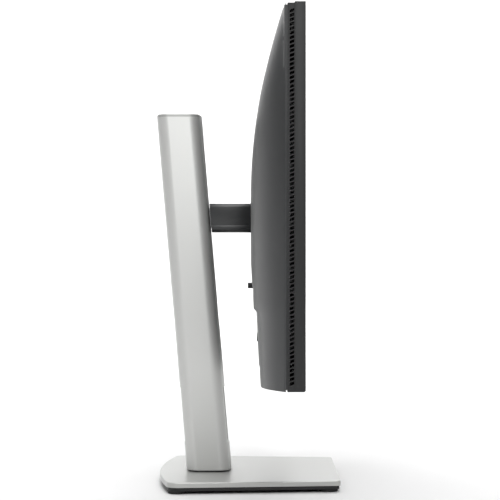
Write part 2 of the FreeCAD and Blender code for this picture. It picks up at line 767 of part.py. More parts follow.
def make_tilt_head():
    hinge = (d.tilt_y, pivot_z)
    half = d.knuckle_width / 2
    flange_front = d.flange_rear - d.flange_thickness
    stub_front = d.mount_rear - d.mount_thickness - d.face_clearance - d.pivot_nut_height - 0.5
    knuckle = rod("knuckle", "x", d.knuckle_radius, hinge, (-half, half))
    web = box("tilt_web", (-half, half), (d.flange_rear - 1, d.tilt_y), across(12, pivot_z))
    middle = (0, pivot_z)
    flange = rod("tilt_flange", "y", d.flange_radius, middle, (flange_front, d.flange_rear))
    stub = rod("tilt_stub", "y", d.pivot_radius, middle, (stub_front, flange_front + 1))
    bore = rod("knuckle_bore", "x", d.tilt_shaft_radius, hinge, (-30, 30))
    node(cut("head", fuse("head_solid", knuckle, web, flange, stub), bore), "tilt_bracket")
    shaft_end = d.fork_inside / 2 + d.fork_wall + 2.6
    node(rod("shaft", "x", d.tilt_shaft_radius, hinge, (-shaft_end, shaft_end)), "tilt_shaft")
    fork_in = d.fork_inside / 2 - d.face_clearance
    fork_out = d.fork_inside / 2 + d.fork_wall + d.face_clearance
    washers, nuts = [], []
    for side, sign in (("right", 1), ("left", -1)):
        span = (half, fork_in) if sign == 1 else (-fork_in, -half)
        ring = rod(f"ring_{side}", "x", 6.5, hinge, span)
        ring_bore = rod(f"ring_bore_{side}", "x", d.tilt_shaft_radius, hinge, (-30, 30))
        washers.append(cut(f"tilt_ring_{side}", ring, ring_bore))
        span = (fork_out, shaft_end) if sign == 1 else (-shaft_end, -fork_out)
        nut = hexagon(f"hinge_nut_{side}", "x", 7, hinge, span)
        nut_bore = rod(f"hinge_bore_{side}", "x", d.tilt_shaft_radius, hinge, (-30, 30))
        nuts.append(cut(f"tilt_nut_{side}", nut, nut_bore))
    node(group("washers", *washers), "tilt_washers")
    node(group("nuts", *nuts), "tilt_nuts")
    disc = rod("pivot_disc", "y", d.flange_radius, middle, (d.mount_rear + d.face_clearance, flange_front))
    disc_bore = rod("pivot_disc_bore", "y", d.pivot_radius, middle, (-30, 0))
    node(cut("pivot_ring", disc, disc_bore), "pivot_washer")
    nut_rear = d.mount_rear - d.mount_thickness - d.face_clearance
    nut = hexagon("pivot_hex", "y", d.pivot_nut_radius, middle, (nut_rear - d.pivot_nut_height, nut_rear))
    nut_bore = rod("pivot_hex_bore", "y", d.pivot_radius, middle, (-30, 0))
    node(cut("pivot_hex_nut", nut, nut_bore), "pivot_nut")


def make_mount_plate():
    front = d.mount_rear - d.mount_thickness
    blank = box("mount_blank", across(d.mount_width), (front, d.mount_rear), across(d.mount_height, pivot_z))
    bore = rod("mount_bore", "y", d.pivot_radius + d.running_clearance, (0, pivot_z), (-30, 0))
    hooks = []
    for side, x in (("right", 24), ("left", -24)):
        hooks.append(box(f"hook_{side}", across(10, x), (-22, front + 1), (pivot_z + 46, pivot_z + 49)))
        hooks.append(box(f"hook_lip_{side}", across(10, x), (-22, -20), (pivot_z + 46, pivot_z + 54)))
    catch = box("catch", across(16), (-25, front + 1), (pivot_z - 48, pivot_z - 46))
    window = box("catch_window", across(10), (-24, -20), (pivot_z - 50, pivot_z - 44))
    node(cut("mount", fuse("mount_solid", blank, *hooks, catch), bore, window), "mount_plate")
    cover = box(
        "plate_cover_block", across(d.plate_cover_width), (d.mount_rear, d.plate_cover_rear),
        across(d.plate_cover_height, pivot_z),
    )
    inside = box(
        "plate_cover_inside", across(d.plate_cover_width - 4), (d.mount_rear - 1, d.plate_cover_rear - 2),
        across(d.plate_cover_height - 4, pivot_z),
    )
    eye = rod("plate_cover_eye", "y", d.plate_cover_hole, (0, pivot_z), (-30, 0))
    node(cut("plate_cover_shell", cover, inside, eye), "plate_cover")


def side_profile(front, inset, rim):
    """The rear cover's outline from the side, pulled in by a wall and, top and bottom, by a rim."""
    top = d.display_top - d.cover_step - rim
    bottom = d.display_bottom + rim
    return [
        (front, bottom), (front, top), (d.crest_y - inset, top),
        Via((d.brow_y - inset, d.brow_z)), (d.shoulder_y - inset, d.shoulder_z),
        Via((d.back_via_y - inset, d.back_via_z)), (d.back_y - inset, d.back_top_z),
        (d.back_bottom_y - inset, d.back_bottom_z), (d.ledge_y + 1.2 - inset, d.ledge_top_z + 6),
        (d.ledge_y - inset, d.ledge_top_z), (d.ledge_y - inset, d.ledge_bottom_z),
        (d.skirt_y - inset, d.skirt_z), (d.hem_y - inset, bottom),
    ]


def plan_profile(front, inset, rim):
    """The rear cover's outline from above: flat in the middle, curved at both flanks."""
    half = d.display_width / 2 - rim
    edge = d.cover_edge - inset
    return [
        (-half, front), (half, front), (half, edge),
        Via((d.flank_x - inset / 2, d.flank_y - inset)), (d.flat_half_width, d.back_y - inset),
        (-d.flat_half_width, d.back_y - inset), Via((-d.flank_x + inset / 2, d.flank_y - inset)),
        (-half, edge),
    ]


def housing_box(name, inset, y, top_step=0):
    """A block with the display's outline, pulled in by an inset."""
    return box(
        name, across(d.display_width - 2 * size(inset)), y,
        (d.display_bottom + inset, d.display_top - top_step - inset),
    )


# Sockets in the bay's ceiling: name, middle X and Y, width and depth
SOCKETS = [
    ("inlet", -78, -22.5, 27.0, 17.0),
    ("display_socket", 6, -23.6, 17.6, 6.6),
    ("media_socket", 32, -23.6, 16.0, 6.6),
    ("upstream_socket", 56, -22.6, 12.0, 8.6),
    ("usb_socket_1", 78, -23.6, 14.0, 6.6),
    ("usb_socket_2", 98, -23.6, 14.0, 6.6),
]


def make_rear_cover():
    wall = d.housing_wall
    wide = across(d.display_width + 20)
    tall = (d.display_bottom - 10, d.display_top + 10)
    front = d.cover_edge - 0.4
    outside = common(
        "cover_outside",
        side_prism("cover_side", wide, side_profile(front, 0, 0)),
        plan_prism("cover_plan", tall, plan_profile(front, 0, 0)),
    )
    groove = d.groove_depth
    lip = housing_box("cover_lip", groove, (d.vent_frame_rear, d.cover_edge), d.cover_step)
    deep = d.vent_frame_rear - 2
    inside = common(
        "cover_inside",
        side_prism("cover_side_inside", wide, side_profile(deep, wall, wall + groove)),
        plan_prism("cover_plan_inside", tall, plan_profile(deep, wall, wall + groove)),
    )
    reach = d.recess_half + wall
    reach_z = (pivot_z - reach, pivot_z + reach)
    recess_wall = box("recess_wall", (-reach, reach), (d.recess_floor - wall, 10), reach_z)
    bay_x = d.bay_half_width + wall
    bay_z = (d.display_bottom - 20, d.bay_top + wall)
    bay_wall = box("bay_wall", (-bay_x, bay_x), (d.bay_floor - wall, 10), bay_z)
    hollow = cut("cover_hollow", inside, recess_wall, bay_wall)
    shell = cut("cover_shell", fuse("cover_solid", outside, lip), hollow)

    half = d.recess_half
    through = (d.recess_floor - 5, 0)
    cutters = [
        box("recess", (-half, half), (d.recess_floor, 10), (pivot_z - half, pivot_z + half)),
        box("bay", across(2 * d.bay_half_width), (d.bay_floor, 10), (d.display_bottom - 20, d.bay_top)),
        rod("floor_hole", "y", d.floor_hole_radius, (0, pivot_z), through),
        box("hook_slot_right", across(13, 24), through, (pivot_z + 45, pivot_z + 56)),
        box("hook_slot_left", across(13, -24), through, (pivot_z + 45, pivot_z + 56)),
        box("catch_slot", across(20), through, (pivot_z - 52, pivot_z - 44)),
        box("button_slot", across(d.button_width + 1), (-14, 0), (d.button_bottom - 4, d.button_top + 0.5)),
        rod("joystick_hole", "y", d.joystick_radius + 0.6, (d.joystick_x, d.joystick_z), (-32, 0)),
    ]
    for x in (-d.vesa_spacing / 2, d.vesa_spacing / 2):
        for z in (pivot_z - d.vesa_spacing / 2, pivot_z + d.vesa_spacing / 2):
            cutters.append(rod(f"insert_hole_{len(cutters)}", "y", d.insert_radius, (x, z), through))
    for x in (-d.cover_screw_x, d.cover_screw_x):
        for z in (pivot_z - d.cover_screw_z, pivot_z + d.cover_screw_z):
            cutters.append(rod(f"screw_hole_{len(cutters)}", "y", d.cover_screw_radius, (x, z), through))
    window_z = (d.bay_top - 1, d.bay_top + 5)
    for name, x, y, width, depth in SOCKETS:
        cutters.append(box(name + "_window", across(width, x), across(depth, y), window_z))
    node(cut("rear_cover_part", shell, *cutters), "rear_cover")


def socket(name, x, y, width, depth):
    """A socket facing down: a shell with a blade in its mouth."""
    z = (d.bay_top - 1.5, d.bay_top + 13)
    wall = 0.5
    body = box(name + "_body", across(width, x), across(depth, y), z)
    mouth_z = (z[0] - 1, z[1] - 2)
    mouth = box(name + "_mouth", across(width - 2 * wall, x), across(depth - 2 * wall, y), mouth_z)
    blade = box(name + "_blade", across(width - 4, x), across(depth * 0.3, y), (z[0] + 1.5, z[1] - 1))
    return fuse(name + "_part", cut(name + "_shell", body, mouth), blade)


def make_sockets():
    parts = [socket(*row) for row in SOCKETS[1:]]
    node(group("sockets", *parts), "data_ports")
    _, x, y, width, depth = SOCKETS[0]
    z = (d.bay_top - 1.5, d.bay_top + 20)
    body = box("inlet_body", across(width, x), across(depth, y), z)
    mouth = box("inlet_mouth", across(width - 3, x), across(depth - 3, y), (z[0] - 1, z[1] - 3))
    pins = [
        box(f"inlet_pin_{index}", across(1.6, x + dx), across(4, y + dy), (z[1] - 12, z[1] - 2))
        for index, (dx, dy) in enumerate(((-7, -2), (0, 2), (7, -2)))
    ]
    node(fuse("inlet_part", cut("inlet_shell", body, mouth), *pins), "power_inlet")


def make_front():
    lip = d.bezel_lip
    outside = housing_box("bezel_block", 0, (d.screen_y, d.bezel_rear))
    window = box(
        "bezel_window", across(d.display_width - 2 * lip), (d.screen_y - 5, d.bezel_rear + 5),
        (d.display_bottom + d.bezel_chin, d.display_top - lip),
    )
    low = d.display_bottom
    chamfer = side_prism("bezel_chamfer_cut", across(d.display_width + 10), [
        (d.screen_y - 1, low - 1), (d.screen_y + d.bezel_chamfer, low - 1),
        (d.screen_y + d.bezel_chamfer, low), (d.screen_y, low + d.bezel_chamfer),
        (d.screen_y - 1, low + d.bezel_chamfer),
    ])
    power_hole = box(
        "power_hole", across(d.power_length + 0.8, d.power_x), across(d.power_width + 0.8, power_y),
        (low - 1, low + 4),
    )
    node(cut("bezel", outside, window, chamfer, power_hole), "front_bezel")

    frame = housing_box("vent_block", 0, (d.bezel_rear, d.vent_frame_rear), d.cover_step)
    inner_y = (d.bezel_rear - 1, d.vent_frame_rear + 1)
    inner = housing_box("vent_inside", d.housing_wall, inner_y, d.cover_step)
    shape = doc.addObject("Part::Feature", "vents")
    shape.Shape = vent_cutters()
    node(cut("vented", frame, inner, shape), "vent_frame")


def vent_cutters():
    """The slanted bars that pierce both sides of the vent frame."""
    front, back = d.vent_front.number, d.vent_back.number
    half, rise = d.vent_height.number / 2, d.vent_slant.number / 2
    reach = d.display_width.number / 2 + 5
    bars = []
    for index in range(int(d.vent_count.number)):
        middle = d.vent_bottom.number + index * d.vent_pitch.number
        corners = [
            Vector(-reach, back, middle - half - rise), Vector(-reach, front, middle - half + rise),
            Vector(-reach, front, middle + half + rise), Vector(-reach, back, middle + half - rise),
        ]
        face = Part.Face(Part.makePolygon(corners + corners[:1]))
        bars.append(face.extrude(Vector(2 * reach, 0, 0)))
    return Part.makeCompound(bars)


def sheet(name, front, thickness, low=0):
    """A full-size layer of the liquid-crystal module."""
    gap = d.bezel_lip + d.glass_gap
    return box(
        name + "_layer", across(d.display_width - 2 * gap), (front, front + thickness),
        (d.display_bottom + d.bezel_chin + d.glass_gap + low, d.display_top - gap),
    )


def make_module():
    node(sheet("glass", d.glass_front, d.glass_thickness), "lcd_glass")
    node(sheet("diffuser", d.diffuser_front, d.diffuser_thickness), "diffuser_sheets")
    node(sheet("guide", d.guide_front, d.guide_thickness, d.led_height + 0.4), "light_guide")
    node(sheet("reflector", d.reflector_front, d.reflector_thickness), "reflector_sheet")
    node(sheet("panel_tray", d.panel_tray_front, d.panel_tray_thickness), "panel_tray")
    low = d.display_bottom + d.bezel_chin + d.glass_gap
    led = box(
        "led", across(d.display_width - 20), (d.guide_front, d.guide_front + d.guide_thickness),
        (low, low + d.led_height),
    )
    node(led, "led_strip")


def make_steelwork():
    plate_y = (d.chassis_front, d.chassis_front + d.chassis_thickness)
    plate = housing_box("chassis_block", 12, plate_y, d.cover_step)
    node(plate, "chassis_plate")
    reach = d.vesa_spacing / 2 + 12
    rear = d.insert_front
    bracket = box("vesa_block", (-reach, reach), (rear - 1.5, rear), (pivot_z - reach, pivot_z + reach))
    legs = mirrored(
        box, "vesa_leg", reach - 1.5, reach, (d.chassis_front + d.chassis_thickness, rear - 1),
        (pivot_z - reach, pivot_z + reach),
    )
    node(fuse("vesa_part", bracket, *legs), "vesa_bracket")
    inserts = []
    for x in (-d.vesa_spacing / 2, d.vesa_spacing / 2):
        for z in (pivot_z - d.vesa_spacing / 2, pivot_z + d.vesa_spacing / 2):
            name = f"insert_{len(inserts)}"
            barrel = rod(name, "y", d.insert_radius, (x, z), (d.insert_front, d.recess_floor))
            hole_y = (d.recess_floor - d.vesa_hole_depth, 0)
            hole = rod(name + "_hole", "y", d.vesa_hole_radius, (x, z), hole_y)
            inserts.append(cut(name + "_bored", barrel, hole))
    node(group("inserts", *inserts), "vesa_inserts")
    screws = []
    for x in (-d.cover_screw_x, d.cover_screw_x):
        for z in (pivot_z - d.cover_screw_z, pivot_z + d.cover_screw_z):
            name = f"cover_screw_{len(screws)}"
            head = rod(name + "_head", "y", 2.8, (x, z), (d.recess_floor, d.recess_floor + 1.6))
            shank_y = (d.insert_front, d.recess_floor + 1)
            shank = rod(name + "_shank", "y", d.cover_screw_radius, (x, z), shank_y)
            screws.append(fuse(name, head, shank))
    node(group("cover_screw_set", *screws), "cover_screws")


def make_electronics():
    board_y = (d.board_rear - d.board_thickness, d.board_rear)
    board_z = (d.bay_top + 13.5, d.board_top)
    node(box("main_pcb", (-6, 116), board_y, board_z), "main_board")
    node(box("power_pcb", (-150, -24), board_y, (d.bay_top + 21, d.board_top)), "power_board")
    rear = d.board_rear
    parts = [
        box("scaler_chip", (20, 44), (rear, rear + 2), (174, 198)),
        box("memory_chip", (56, 68), (rear, rear + 1.4), (178, 192)),
        box("hub_chip", (84, 96), (rear, rear + 1.4), (172, 184)),
        box("transformer", (-66, -40), (rear, rear + 12), (175, 198)),
        box("heat_sink", (-132, -126), (rear, rear + 12), (174, 200)),
        rod("bulk_capacitor", "y", 7, (-98, 188), (rear, rear + 13)),
        rod("filter_capacitor", "y", 4, (-82, 182), (rear, rear + 11)),
    ]
    node(group("components", *parts), "board_parts")
    node(box("timing_pcb", (-70, 70), (-42.6, -41.2), (402, 426)), "timing_board")
    ribbon_y = d.chassis_front + d.chassis_thickness
    node(box("ribbon", (72, 96), (ribbon_y, ribbon_y + 0.4), (205, 400)), "panel_cable")


def make_controls():
    # Stand release: the nub and its stem, then the tongue that holds the catch
    width = d.button_width
    button_z = (d.button_bottom, d.button_top)
    nub = box("release_nub", across(width), (-9, d.button_rear), button_z)
    stem = box("release_stem", across(8), (-23, -8), button_z)
    node(fuse("release", nub, stem), "release_button")
    tongue = box("tongue", across(8), (-23, -21), (button_z[1], pivot_z - 45.2))
    foot = box("tongue_foot", across(20), (-26, -23), (button_z[0], button_z[0] + 3))
    arm = box("tongue_arm", across(8), (-26, -23), (button_z[0], pivot_z - 56))
    bridge = box("tongue_bridge", across(8), (-26, -21), (pivot_z - 58, pivot_z - 56))
    node(fuse("latch", tongue, foot, arm, bridge), "release_latch")
    turns = []
    for index in range(5):
        ring = doc.addObject("Part::Torus", f"spring_turn_{index}")
        bind(ring, "Radius1", 2.2)
        bind(ring, "Radius2", 0.35)
        bind(ring, "Placement.Base.y", -24.5)
        bind(ring, "Placement.Base.z", button_z[0] - 1.2 - index * 1.9)
        turns.append(ring)
    node(group("spring_turns", *turns), "release_spring")
    # Menu stick: a cap on a cross pin at the end of its stem
    x, z = d.joystick_x, d.joystick_z
    hinge = (d.stick_pin_y, z)
    cap = rod("stick_disc", "y", d.joystick_radius, (x, z), (-17, -11.5))
    ears = [
        box(f"stick_ear_{name}", across(1, x + side * 2.3), across(2.6, d.stick_pin_y + 0.2), across(2.6, z))
        for name, side in (("left", -1), ("right", 1))
    ]
    lugs = [
        box(f"stick_lug_{name}", across(1, x + side * 2.3), (d.stick_pin_y, -16.5), across(2.6, z))
        for name, side in (("left", -1), ("right", 1))
    ]
    pin_reach = across(6.4, x)
    bore = rod("stick_bore", "x", d.stick_pin_radius + d.running_clearance, hinge, pin_reach)
    node(cut("stick_cap", fuse("stick_cap_solid", cap, *ears, *lugs), bore), "joystick_cap")
    pin = rod("stick_pin", "x", d.stick_pin_radius, hinge, across(6, x))
    stem = rod("stick_rod", "y", 1.6, (x, z), (-27, d.stick_pin_y))
    node(fuse("stick_stem", stem, pin), "joystick_stem")
    # Power button, in the underside of the bezel
    button = box(
        "power_cap", across(d.power_length, d.power_x), across(d.power_width, power_y),
        (d.display_bottom, d.display_bottom + 2.5),
    )
    node(button, "power_button")


def check_and_export():
    doc.recompute()
    for item in doc.Objects:
        if "Invalid" in item.State or "Error" in item.State:
            raise RuntimeError(f"{item.Name} failed: {item.State}")
    os.makedirs("parts", exist_ok=True)
    for part in nodes:
        if part.Shape.isNull() or not part.Shape.isValid() or not part.Shape.Solids:
            raise RuntimeError(f"{part.Label} has no valid shape")
        part.Shape.exportStep(os.path.join("parts", part.Label + ".step"))
        print(f"{part.Label:20} {len(part.Shape.Solids)} solids {part.Shape.Volume / 1000:9.2f} cm3")


make_base()
make_column()
make_carriage()
make_drum()
make_tilt_head()
make_mount_plate()
make_rear_cover()
make_sockets()
make_front()
make_module()
make_steelwork()
make_electronics()
make_controls()
check_and_export()
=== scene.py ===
import json
import math

import bmesh
import bpy
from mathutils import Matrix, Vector


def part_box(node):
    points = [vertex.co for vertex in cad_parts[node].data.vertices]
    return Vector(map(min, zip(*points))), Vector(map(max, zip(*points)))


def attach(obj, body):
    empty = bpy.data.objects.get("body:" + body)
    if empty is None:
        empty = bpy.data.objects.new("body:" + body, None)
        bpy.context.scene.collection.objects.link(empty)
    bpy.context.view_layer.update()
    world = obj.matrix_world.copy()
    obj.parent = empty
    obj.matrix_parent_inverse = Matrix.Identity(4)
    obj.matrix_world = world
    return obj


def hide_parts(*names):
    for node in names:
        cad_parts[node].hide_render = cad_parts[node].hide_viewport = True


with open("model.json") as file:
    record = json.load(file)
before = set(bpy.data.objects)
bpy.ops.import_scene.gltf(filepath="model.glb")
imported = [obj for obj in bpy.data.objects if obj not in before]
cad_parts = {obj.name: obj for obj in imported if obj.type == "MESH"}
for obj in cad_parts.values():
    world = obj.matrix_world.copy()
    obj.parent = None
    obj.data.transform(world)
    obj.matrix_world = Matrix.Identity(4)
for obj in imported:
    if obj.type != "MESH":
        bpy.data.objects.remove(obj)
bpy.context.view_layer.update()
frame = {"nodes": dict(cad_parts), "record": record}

nodes = frame["nodes"]
MM = 0.001


# Materials ---------------------------------------------------------------------------------------


def link(tree, source, output, target, entry):
    tree.links.new(source.outputs[output], target.inputs[entry])


def surface(name, colour, roughness, metallic=0.0, variation=0.04, patch=0.05, grain=0.0006, bump=0.15,
            rough_span=0.06, coat=0.0, specular=0.5, stretch=(1, 1, 1)):
    """A procedural finish: soft colour patches, uneven roughness and a fine moulded or blasted grain."""
    made = bpy.data.materials.new(name)
    made.use_nodes = True
    tree = made.node_tree
    shader = tree.nodes["Principled BSDF"]
    shader.inputs["Metallic"].default_value = metallic
    shader.inputs["Coat Weight"].default_value = coat
    shader.inputs["Specular IOR Level"].default_value = specular
    place = tree.nodes.new("ShaderNodeTexCoord")
    scale = tree.nodes.new("ShaderNodeMapping")
    scale.inputs["Scale"].default_value = stretch
    link(tree, place, "Object", scale, "Vector")

    patches = tree.nodes.new("ShaderNodeTexNoise")
    patches.inputs["Scale"].default_value = 1 / patch
    patches.inputs["Detail"].default_value = 4
    link(tree, place, "Object", patches, "Vector")
    ramp = tree.nodes.new("ShaderNodeValToRGB")
    dark = [channel * (1 - variation) for channel in colour]
    light = [min(1.0, channel * (1 + variation)) for channel in colour]
    ramp.color_ramp.elements[0].position = 0.3
    ramp.color_ramp.elements[0].color = (*dark, 1)
    ramp.color_ramp.elements[1].position = 0.7
    ramp.color_ramp.elements[1].color = (*light, 1)
    link(tree, patches, "Fac", ramp, "Fac")
    link(tree, ramp, "Color", shader, "Base Color")

    spread = tree.nodes.new("ShaderNodeMapRange")
    spread.inputs["To Min"].default_value = roughness - rough_span
    spread.inputs["To Max"].default_value = roughness + rough_span
    link(tree, patches, "Fac", spread, "Value")
    link(tree, spread, "Result", shader, "Roughness")

    fine = tree.nodes.new("ShaderNodeTexNoise")
    fine.inputs["Scale"].default_value = 1 / grain
    fine.inputs["Detail"].default_value = 3
    link(tree, scale, "Vector", fine, "Vector")
    relief = tree.nodes.new("ShaderNodeBump")
    relief.inputs["Strength"].default_value = bump
    relief.inputs["Distance"].default_value = 0.0002
    link(tree, fine, "Fac", relief, "Height")
    link(tree, relief, "Normal", shader, "Normal")
    return made


def make_materials():
    return {
        "silver_paint": surface("silver_paint", (0.48, 0.485, 0.47), 0.34, 0.35, 0.02, 0.08, 0.0005, 0.06),
        "silver_aluminium": surface(
            "silver_aluminium", (0.66, 0.665, 0.65), 0.52, 0.55, 0.02, 0.12, 0.0005, 0.05,
        ),
        "black_plastic": surface("black_plastic", (0.007, 0.0074, 0.0078), 0.50, 0, 0.08, 0.03, 0.0007, 0.20),
        "dark_plastic": surface(
            "dark_plastic", (0.018, 0.0195, 0.021), 0.34, 0, 0.04, 0.06, 0.0008, 0.08, specular=0.7,
        ),
        "rubber_pad": surface("rubber_pad", (0.018, 0.018, 0.018), 0.8, 0, 0.15, 0.01, 0.0010, 0.4),
        "steel": surface("steel", (0.52, 0.53, 0.54), 0.35, 1.0, 0.06, 0.03, 0.0009, 0.15, stretch=(1, 8, 1)),
        "steel_screw": surface("steel_screw", (0.22, 0.22, 0.23), 0.40, 1.0, 0.08, 0.01, 0.0008, 0.2),
        "cast_grey": surface("cast_grey", (0.16, 0.165, 0.17), 0.6, 0.3, 0.08, 0.02, 0.0015, 0.4),
        "brass_bush": surface("brass_bush", (0.55, 0.42, 0.18), 0.35, 1.0, 0.06, 0.01, 0.0008, 0.15),
        "white_plastic": surface("white_plastic", (0.75, 0.75, 0.73), 0.5, 0, 0.03, 0.02, 0.0008, 0.1),
        "bearing_plastic": surface("bearing_plastic", (0.72, 0.70, 0.64), 0.45, 0, 0.04, 0.02, 0.0008, 0.1),
        "screen_glass": surface(
            "screen_glass", (0.010, 0.011, 0.013), 0.22, 0, 0.05, 0.2, 0.0004, 0.05, coat=0.3,
        ),
        "clear_plastic": surface("clear_plastic", (0.70, 0.76, 0.78), 0.12, 0, 0.02, 0.1, 0.002, 0.02),
        "film": surface("film", (0.80, 0.80, 0.82), 0.3, 0, 0.02, 0.1, 0.001, 0.05),
        "circuit_board": surface("circuit_board", (0.02, 0.13, 0.05), 0.4, 0, 0.25, 0.004, 0.002, 0.4),
        "component": surface("component", (0.03, 0.03, 0.03), 0.5, 0, 0.2, 0.008, 0.001, 0.2),
        "socket_plastic": surface("socket_plastic", (0.016, 0.016, 0.017), 0.45, 0, 0.1, 0.01, 0.0008, 0.2),
    }


materials = make_materials()
slots = {row["node"]: row["material_slot"] for row in frame["record"]["subparts"]}


def finish_cad_nodes():
    for name, item in nodes.items():
        item.data.materials.clear()
        item.data.materials.append(materials[slots[name]])
        item.data.shade_flat()


finish_cad_nodes()

# Refined pieces ----------------------------------------------------------------------------------


def add_piece(name, mesh, body, node):
    """Puts a finished mesh in the scene in place of a CAD node, with that node's material."""
    piece = bpy.data.objects.new(name, mesh)
    bpy.context.scene.collection.objects.link(piece)
    mesh.materials.clear()
    mesh.materials.append(materials[slots[node]])
    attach(piece, body)
    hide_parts(node)


def smooth_by_angle(mesh, degrees):
    mesh.shade_smooth()
    mesh.set_sharp_from_angle(angle=math.radians(degrees))


def merged_mesh(name, source):
    """A copy of a CAD mesh with its flat faces joined up again."""
    bm = bmesh.new()
    bm.from_mesh(source)
    bmesh.ops.remove_doubles(bm, verts=bm.verts, dist=0.002 * MM)
    bmesh.ops.dissolve_limit(bm, angle_limit=math.radians(0.3), verts=bm.verts, edges=bm.edges)
    mesh = bpy.data.meshes.new(name)
    bm.to_mesh(mesh)
    bm.free()
    return mesh


def round_edges(mesh, width, segments=2, degrees=28):
    """Rolls every sharp edge over with a small radius, as a moulding or a casting has."""
    bm = bmesh.new()
    bm.from_mesh(mesh)
    sharp = [
        edge for edge in bm.edges
        if len(edge.link_faces) == 2 and edge.calc_face_angle(0) > math.radians(degrees)
    ]
    bmesh.ops.bevel(
        bm, geom=sharp, offset=width, offset_type="OFFSET", segments=segments, profile=0.5,
        affect="EDGES", clamp_overlap=True,
    )
    bm.to_mesh(mesh)
    bm.free()


def rounded_copy(node, body, width, segments=2, smooth=32, degrees=28):
    """A CAD node again, with its edges rolled over."""
    mesh = merged_mesh(node + "_fine", nodes[node].data)
    round_edges(mesh, width, segments, degrees)
    smooth_by_angle(mesh, smooth)
    add_piece(node + "_fine", mesh, body, node)


def shaped(name, base, cutters, joined=()):
    """A base mesh with some meshes joined to it and then others cut from it."""
    steps = [("UNION", tool) for tool in joined] + [("DIFFERENCE", tool) for tool in cutters]
    holder = bpy.data.objects.new(name + "_work", base)
    bpy.context.scene.collection.objects.link(holder)
    helpers = []
    for index, (operation, tool) in enumerate(steps):
        helper = bpy.data.objects.new(f"{name}_tool_{index}", tool)
        bpy.context.scene.collection.objects.link(helper)
        helpers.append(helper)
        modifier = holder.modifiers.new(f"step_{index}", "BOOLEAN")
        modifier.operation = operation
        modifier.solver = "EXACT"
        modifier.object = helper
    bpy.context.view_layer.update()
    result = holder.evaluated_get(bpy.context.evaluated_depsgraph_get())
    mesh = bpy.data.meshes.new_from_object(result)
    mesh.name = name
    for item in [holder] + helpers:
        bpy.data.objects.remove(item)
    return mesh


def block_mesh(name, low, high, radius=0.0, steps=5):
    """A block from low to high whose four edges along Y are rounded."""
    corners = []
    for cx, cz, start in (
        (high[0] - radius, high[2] - radius, 0), (low[0] + radius, high[2] - radius, 1),
        (low[0] + radius, low[2] + radius, 2), (high[0] - radius, low[2] + radius, 3),
    ):
        for step in range(steps + 1 if radius else 1):
            angle = math.pi / 2 * (start + step / steps)
            corners.append((cx + radius * math.cos(angle), cz + radius * math.sin(angle)))
    bm = bmesh.new()
    near = [bm.verts.new((x, low[1], z)) for x, z in corners]
    far = [bm.verts.new((x, high[1], z)) for x, z in corners]
    bm.faces.new(near)
    bm.faces.new(far[::-1])
    for index in range(len(corners)):
        after = (index + 1) % len(corners)
        bm.faces.new((near[after], near[index], far[index], far[after]))
    bmesh.ops.recalc_face_normals(bm, faces=bm.faces)
    mesh = bpy.data.meshes.new(name)
    bm.to_mesh(mesh)
    bm.free()
    return mesh


# Rear cover: one smooth pillow, in millimetres
PIVOT_Z = 268.5
HALF_WIDTH = 265.6
COVER_BOTTOM = 109.8
COVER_WALL = 2.5
COVER_RIM = 4.1
FLAT_HALF_WIDTH = 160.0
FLANK_RADIUS = 196.4
CORNER_BLEND = 3
COVER_EDGE = -35.1
COVER_BACK = -4.3
COVER_TOP = 455.4
# (height, Y) down the cover's middle: three points on each of two arcs, then straight runs
UPPER_ARC = [(COVER_TOP, -33.0), (424.4, -23.8), (384.4, -14.0)]
LONG_ARC = [(384.4, -14.0), (337.0, -6.9), (290.0, COVER_BACK)]
LOWER_RUNS = [
    (COVER_BOTTOM, -13.5), (177.8, -9.9), (181.4, -6.8), (197.4, -6.8), (203.4, -5.6), (221.4, -4.6),
    (290.0, COVER_BACK),
]


def arc_depth(z, points):
    """Y at a height on the circle through three (height, Y) points, on the points' side of it."""
    (z0, y0), (z1, y1), (z2, y2) = points
    double_area = 2 * (z0 * (y1 - y2) + z1 * (y2 - y0) + z2 * (y0 - y1))
    s0, s1, s2 = z0 * z0 + y0 * y0, z1 * z1 + y1 * y1, z2 * z2 + y2 * y2
    middle_z = (s0 * (y1 - y2) + s1 * (y2 - y0) + s2 * (y0 - y1)) / double_area
    middle_y = (s0 * (z2 - z1) + s1 * (z0 - z2) + s2 * (z1 - z0)) / double_area
    radius = math.hypot(z0 - middle_z, y0 - middle_y)
    side = 1 if y1 > middle_y else -1
    return middle_y + side * math.sqrt(max(0.0, radius * radius - (z - middle_z) ** 2))


def profile_depth(z):
    """The cover's rearmost Y at a height, on its middle plane."""
    if z >= UPPER_ARC[2][0]:
        return arc_depth(min(z, COVER_TOP), UPPER_ARC)
    if z >= LONG_ARC[2][0]:
        return arc_depth(z, LONG_ARC)
    for (z0, y0), (z1, y1) in zip(LOWER_RUNS, LOWER_RUNS[1:]):
        if z <= z1:
            return y0 + (y1 - y0) * max(0.0, (z - z0) / (z1 - z0))
    return COVER_BACK


def flank_depth(x):
    """The cover's Y in plan, flat in the middle and curving away towards its sides."""
    run = max(0.0, abs(x) - FLAT_HALF_WIDTH)
    return COVER_BACK - (FLANK_RADIUS - math.sqrt(FLANK_RADIUS * FLANK_RADIUS - run * run))


def cover_depth(x, z):
    """The cover's Y anywhere: both curves together, blended where they meet at the corners."""
    full = COVER_BACK - COVER_EDGE
    down = (COVER_BACK - profile_depth(z)) / full
    out = (COVER_BACK - flank_depth(x)) / full
    share = min(1.0, (down ** CORNER_BLEND + out ** CORNER_BLEND) ** (1 / CORNER_BLEND))
    return COVER_BACK - full * share


